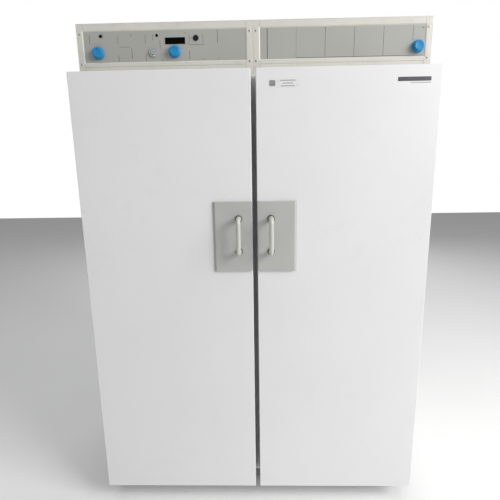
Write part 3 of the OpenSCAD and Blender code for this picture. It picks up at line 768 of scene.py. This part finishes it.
def knob(node):
    """Skirted blue knob with a fluted grip, a shallow cap and a raised pointer."""
    low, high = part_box(node)
    radius = (high.x - low.x) / 2
    centre = Vector(((low.x + high.x) / 2, 0, (low.z + high.z) / 2))
    front = low.y
    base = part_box("left_fascia")[0].y - 0.5 * MM
    length = base - front
    centre.y = base
    skirt = 5 * MM
    grip = radius - 3 * MM
    profile = [(radius - 0.4 * MM, 0), (radius, 0.4 * MM), (radius, skirt - 1.6 * MM),
               (radius - 0.5 * MM, skirt - 0.7 * MM), (radius - 1.6 * MM, skirt),
               (grip + 0.6 * MM, skirt + 0.1 * MM), (grip, skirt + 0.9 * MM),
               (grip - 0.6 * MM, length - 2.6 * MM), (grip - 1.2 * MM, length - 1.0 * MM),
               (grip - 2.6 * MM, length - 0.25 * MM), (grip - 4.2 * MM, length),
               (grip - 5.0 * MM, length - 0.5 * MM), (0.6 * MM, length - 0.7 * MM)]
    bm = bmesh.new()
    lathe(bm, profile, centre, sides=120, flutes=30, flute_depth=0.5 * MM, fluted=(6, 7))
    if node != "vent_knob":
        spindle(bm, centre, high.y - base)
    node_piece(node + "_moulding", bm, node, angle=35)
    bm = bmesh.new()
    x, z = centre.x, centre.z
    half, depth = 0.6 * MM, 1.2 * MM
    cuboid(bm, Vector((x - half, front, z + 5 * MM)),
           Vector((x + half, front + depth, z + grip - 2.4 * MM)), 0.2 * MM)
    piece(node + "_pointer", bm, POINTER, BODY[node])


def safety_dial():
    """Clear plastic dial with a knurled rim, and a dark bar of painted shade standing for the coin slot in
    its raised middle.
    """
    node = "safety_dial"
    low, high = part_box(node)
    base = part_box("left_fascia")[0].y - 0.5 * MM
    length = base - low.y
    radius = (high.x - low.x) / 2
    centre = Vector(((low.x + high.x) / 2, base, (low.z + high.z) / 2))
    bm = bmesh.new()
    profile = [(radius - 0.5 * MM, 0), (radius, 0.5 * MM), (radius, length * 0.45),
               (radius - 1.0 * MM, length * 0.62), (radius - 3.2 * MM, length * 0.66),
               (radius - 4.5 * MM, length * 0.5), (radius - 6.2 * MM, length * 0.5),
               (radius - 6.8 * MM, length * 0.9), (radius - 7.4 * MM, length), (0.5 * MM, length)]
    lathe(bm, profile, centre, sides=96, flutes=24, flute_depth=0.5 * MM, fluted=(1, 2))
    spindle(bm, centre, high.y - base)
    node_piece("safety_dial_moulding", bm, node)
    # The coin slot is not cut: a flat dark grey bar takes its place as painted shade of the recess
    bm = bmesh.new()
    x, z = centre.x, centre.z
    half_l, half_w, proud, depth = 6 * MM, 0.9 * MM, 0.05 * MM, 1.2 * MM
    cuboid(bm, Vector((x - half_l, low.y - proud, z - half_w)),
           Vector((x + half_l, low.y + depth, z + half_w)), 0.1 * MM)
    piece("safety_dial_slot_painted_shade", bm, LABEL_BAR, "safety_dial")


def power_button():
    """Black push-button with a dished cap."""
    node = "power_button"
    low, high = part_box(node)
    r = (high.x - low.x) / 2
    centre = Vector(((low.x + high.x) / 2, high.y, (low.z + high.z) / 2))
    length = high.y - low.y
    bm = bmesh.new()
    profile = [(r, 0), (r, length - 1.2 * MM), (r - 0.3 * MM, length - 0.5 * MM), (r - 1.2 * MM, length),
               (r - 2.4 * MM, length - 0.5 * MM), (0.5 * MM, length - 0.9 * MM)]
    lathe(bm, profile, centre, sides=40)
    node_piece("power_button_cap", bm, node)
    bm = bmesh.new()
    face = Vector((centre.x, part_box("left_fascia")[0].y, centre.z))
    rim = [(r + 0.3 * MM, 0), (r + 2.2 * MM, 0), (r + 2.2 * MM, 0.5 * MM), (r + 1.6 * MM, 1.1 * MM),
           (r + 0.6 * MM, 1.1 * MM), (r + 0.3 * MM, 0.8 * MM)]
    loft(bm, [ring_points(face + TOWARDS_FRONT * h, ACROSS, UP, ring, 40) for ring, h in rim], wrap=True)
    piece("power_button_rim", bm, MATERIALS["black_plastic"], "cabinet")


def indicator_lamps():
    """Two small black lamps, each a domed lens in a ring."""
    bm = bmesh.new()
    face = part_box("left_fascia")[0].y
    low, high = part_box("indicator_lamps")
    left_r, right_r = 5 * MM, 4.5 * MM
    lower = 1 * MM  # the right lamp's centre below the left one's
    middle = high.z - left_r
    for x, z, r in ((low.x + left_r, middle, left_r), (high.x - right_r, middle - lower, right_r)):
        profile = [(r, 0), (r, 0.9 * MM), (r - 0.5 * MM, 1.4 * MM), (r - 1.2 * MM, 1.2 * MM),
                   (r - 1.6 * MM, 0.9 * MM), (r - 2.2 * MM, 1.4 * MM), (0.4 * MM, 1.5 * MM)]
        lathe(bm, profile, Vector((x, face, z)), sides=32)
    node_piece("indicator_lamps_lenses", bm, "indicator_lamps")


def display_window():
    """Black display window: raised frame and a set-back pane."""
    node = "display_window"
    low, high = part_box(node)
    box = (low.x, high.x, low.z, high.z)
    front, back = low.y, high.y
    bm = bmesh.new()
    loops = [
        inset(box, 0, back, 2 * MM),
        inset(box, 0, front + 0.4 * MM, 2 * MM),
        inset(box, 0.4 * MM, front, 2 * MM),
        inset(box, 1.6 * MM, front, 2.4 * MM),
        inset(box, 2.0 * MM, front + 0.6 * MM, 2.4 * MM),
    ]
    loft(bm, loops)
    node_piece("display_window_pane", bm, node)


SCREW_HEAD_HEIGHT = 1.8 * MM


def screw_heads(bm, places, axis, radius, height):
    """Pan heads with a crossed recess shown as a shallow dish."""
    for centre in places:
        lathe(bm, [(radius, 0), (radius, height * 0.35), (radius * 0.86, height * 0.8),
                   (radius * 0.6, height), (radius * 0.34, height), (radius * 0.24, height * 0.45),
                   (0.1 * MM, height * 0.4)], centre, axis=axis, sides=20)


def panel_screws():
    low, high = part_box("panel_screws")
    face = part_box("left_panel_frame")[0].y
    head = 4 * MM
    inner = 10 * MM
    places = [Vector((x, face, z)) for x in (low.x + head, -inner, inner, high.x - head)
              for z in (low.z + head, high.z - head)]
    bm = bmesh.new()
    screw_heads(bm, places, TOWARDS_FRONT, head * 0.8, SCREW_HEAD_HEIGHT)
    node_piece("panel_screws_heads", bm, "panel_screws")


def control_panel():
    for side in ("left", "right"):
        bezel(side)
        bezel_joints(side)
    refined("left_fascia", 0.25 * MM)
    refined("right_fascia", 0.25 * MM)
    printed_lines()
    dial_marks()
    for node in ("timer_knob", "setpoint_knob", "vent_knob"):
        knob(node)
    safety_dial()
    power_button()
    indicator_lamps()
    display_window()
    panel_screws()


# ---- chamber and casing ----


def shelf(node):
    """Wire shelf: a round frame with bent corners, bars from front to back and two cross bars."""
    low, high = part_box(node)
    r = (high.z - low.z) / 2
    z = (low.z + high.z) / 2
    bend = 12 * MM
    x0, x1, y0, y1 = low.x + r, high.x - r, low.y + r, high.y - r
    steps = 6
    path = []
    corners = ((x1 - bend, y1 - bend, 0), (x0 + bend, y1 - bend, 90),
               (x0 + bend, y0 + bend, 180), (x1 - bend, y0 + bend, 270))
    for cx, cy, start in corners:
        for i in range(steps + 1):
            a = math.radians(start + 90 * i / steps)
            path.append(Vector((cx + bend * math.cos(a), cy + bend * math.sin(a), z)))
    bm = bmesh.new()
    loops = []
    for i, p in enumerate(path):
        tangent = (path[(i + 1) % len(path)] - path[i - 1]).normalized()
        loops.append(ring_points(p, UP, tangent.cross(UP), r, 12))
    loft(bm, loops, wrap=True)
    wire = 1.4 * MM
    bars = 20
    for i in range(1, bars):
        x = x0 + (x1 - x0) * i / bars
        rod(bm, Vector((x, y0, high.z - wire)), Vector((x, y1, high.z - wire)), wire)
    for k in (1, 2, 3):
        y = y0 + (y1 - y0) * k / 4
        rod(bm, Vector((x0, y, high.z - 3 * wire)), Vector((x1, y, high.z - 3 * wire)), wire)
    node_piece(node + "_wires", bm, node, angle=50)


def foot(node):
    """Levelling foot: rubber pad, steel cup, hexagon and threaded stem."""
    low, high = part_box(node)
    r = (high.x - low.x) / 2
    centre = Vector(((low.x + high.x) / 2, (low.y + high.y) / 2, low.z))
    length = high.z - low.z
    bm = bmesh.new()
    lathe(bm, [(r - 1.2 * MM, 3 * MM), (r - 0.4 * MM, 3.2 * MM), (r - 0.6 * MM, 4.4 * MM),
               (r - 6 * MM, 8 * MM), (r - 11 * MM, 10 * MM), (6 * MM, 10 * MM)],
          centre, axis=UP, sides=48)
    lathe(bm, [(12 * MM, 10 * MM), (12 * MM, 19.4 * MM), (11 * MM, 20 * MM), (6 * MM, 20 * MM)],
          centre, axis=UP, sides=6)
    thread = []
    pitch = 1.75 * MM
    z = 20 * MM
    while z < length - 2 * MM:
        thread += [(5.3 * MM, z), (5.95 * MM, z + pitch * 0.45), (5.95 * MM, z + pitch * 0.6)]
        z += pitch
    thread.append((5.0 * MM, length))
    lathe(bm, [(5.3 * MM, 19 * MM)] + thread, centre, axis=UP, sides=24)
    node_piece(node + "_screw", bm, node, angle=25)
    bm = bmesh.new()
    lathe(bm, [(r - 2 * MM, 0), (r - 0.4 * MM, 0.8 * MM), (r, 2.2 * MM), (r - 0.6 * MM, 3.4 * MM),
               (r - 4 * MM, 3.6 * MM)], centre, axis=UP, sides=48)
    piece(node + "_pad", bm, RUBBER, BODY[node])


def casing():
    """Outer sheets, frames and hinge brackets, and the screws round the back sheet."""
    for node in ("left_side_panel", "right_side_panel", "top_cover", "rear_cover"):
        refined(node, 0.5 * MM)
    refined("base_frame", 1.2 * MM)
    refined("front_frame", 0.6 * MM)
    refined("center_mullion", 1.2 * MM)
    refined("hinge_brackets", 0.6 * MM)
    low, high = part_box("rear_cover")
    edge = 10 * MM
    columns, rows = 5, 7
    back = high.y
    width = high.x - low.x - 2 * edge
    height = high.z - low.z - 2 * edge
    places = [Vector((low.x + edge + width * i / (columns - 1), back, z))
              for i in range(columns) for z in (low.z + edge, high.z - edge)]
    places += [Vector((x, back, low.z + edge + height * k / (rows - 1)))
               for k in range(1, rows - 1) for x in (low.x + edge, high.x - edge)]
    bm = bmesh.new()
    screw_heads(bm, places, TOWARDS_REAR, 4 * MM, SCREW_HEAD_HEIGHT)
    piece("rear_cover_screws", bm, MATERIALS["zinc_screws"], "cabinet")


def interior():
    """Chamber, air duct and control parts with rounded edges, and the shelves."""
    bevels = {"chamber_liner": 0.6, "air_baffle": 0.5, "shelf_rails": 0.5, "fan_impeller": 0.3,
              "fan_motor": 0.8, "exhaust_pipe": 0.4, "mains_inlet": 0.5, "power_supply": 0.8,
              "control_board": 0.3, "safety_thermostat": 0.8, "control_tray": 0.4}
    for node, bevel in bevels.items():
        refined(node, bevel * MM)
    for side in ("left", "right"):
        for index in (1, 2, 3):
            shelf(f"{side}_shelf_{index}")


def carry_over():
    """CAD nodes that keep their own mesh get their finish through their material slots."""
    for name, obj in frame["nodes"].items():
        if not obj.hide_render:
            obj.data.materials.clear()
            obj.data.materials.append(MATERIALS[SLOT[name]])
            for polygon in obj.data.polygons:
                polygon.material_index = 0


# ---- studio ----


def floor():
    """Plain pale floor."""
    material = surface("floor", (0.93, 0.93, 0.93), 0.7, patch=1.5, tint=0.01, grain=300.0,
                       Emission_Color=(1, 1, 1, 1), Emission_Strength=0.08)
    bm = bmesh.new()
    half, thickness = 9.0, 0.02
    loft(bm, [[Vector((x, y, z)) for x, y in ((-half, -half), (half, -half), (half, half), (-half, half))]
              for z in (-thickness, 0.0)])
    mesh = bpy.data.meshes.new("floor")
    bmesh.ops.recalc_face_normals(bm, faces=bm.faces)
    bm.to_mesh(mesh)
    bm.free()
    mesh.materials.append(material)
    obj = bpy.data.objects.new("floor", mesh)
    bpy.context.scene.collection.objects.link(obj)


def area_light(name, position, target, size, power, color=(1, 1, 1)):
    data = bpy.data.lights.new(name, "AREA")
    data.shape = "SQUARE"
    data.size = size
    data.energy = power
    data.color = color
    light = bpy.data.objects.new(name, data)
    light.location = position
    light.rotation_euler = (Vector(target) - Vector(position)).to_track_quat("-Z", "Y").to_euler()
    bpy.context.scene.collection.objects.link(light)


def studio():
    """Pale floor, a large soft key from the upper right, a weak fill from the left and a white surround.

    The surround is white to the eye and dimmer as a light, so that the white doors keep their tone.
    """
    floor()
    area_light("key", (3.0, -2.2, 2.7), (0.3, -0.35, 1.1), 2.0, 125, (1.0, 0.99, 0.985))
    area_light("fill", (-2.6, -3.6, 2.2), (0, -0.3, 0.9), 3.0, 6, (0.98, 0.99, 1.0))
    area_light("overhead", (0, -1.2, 5.0), (0, -1.0, 0), 5.0, 60)
    area_light("back", (0.5, 4.0, 3.2), (0, 0.3, 1.0), 3.0, 45)
    world = bpy.data.worlds.new("studio")
    bpy.context.scene.world = world
    world.use_nodes = True
    tree = world.node_tree
    seen = tree.nodes["Background"]
    seen.inputs["Color"].default_value = (1.0, 1.0, 1.0, 1)
    seen.inputs["Strength"].default_value = 1.0
    light = tree.nodes.new("ShaderNodeBackground")
    light.inputs["Color"].default_value = (0.985, 0.99, 1.0, 1)
    light.inputs["Strength"].default_value = 0.205
    path = tree.nodes.new("ShaderNodeLightPath")
    mix = tree.nodes.new("ShaderNodeMixShader")
    tree.links.new(path.outputs["Is Camera Ray"], mix.inputs["Fac"])
    tree.links.new(light.outputs["Background"], mix.inputs[1])
    tree.links.new(seen.outputs["Background"], mix.inputs[2])
    tree.links.new(mix.outputs["Shader"], tree.nodes["World Output"].inputs["Surface"])
    bpy.context.scene.view_settings.view_transform = "Standard"


place_camera()
for side in ("left", "right"):
    door(side)
door_label()
control_panel()
casing()
interior()
for corner in ("front_left", "front_right", "rear_left", "rear_right"):
    foot(corner + "_foot")
carry_over()
studio()
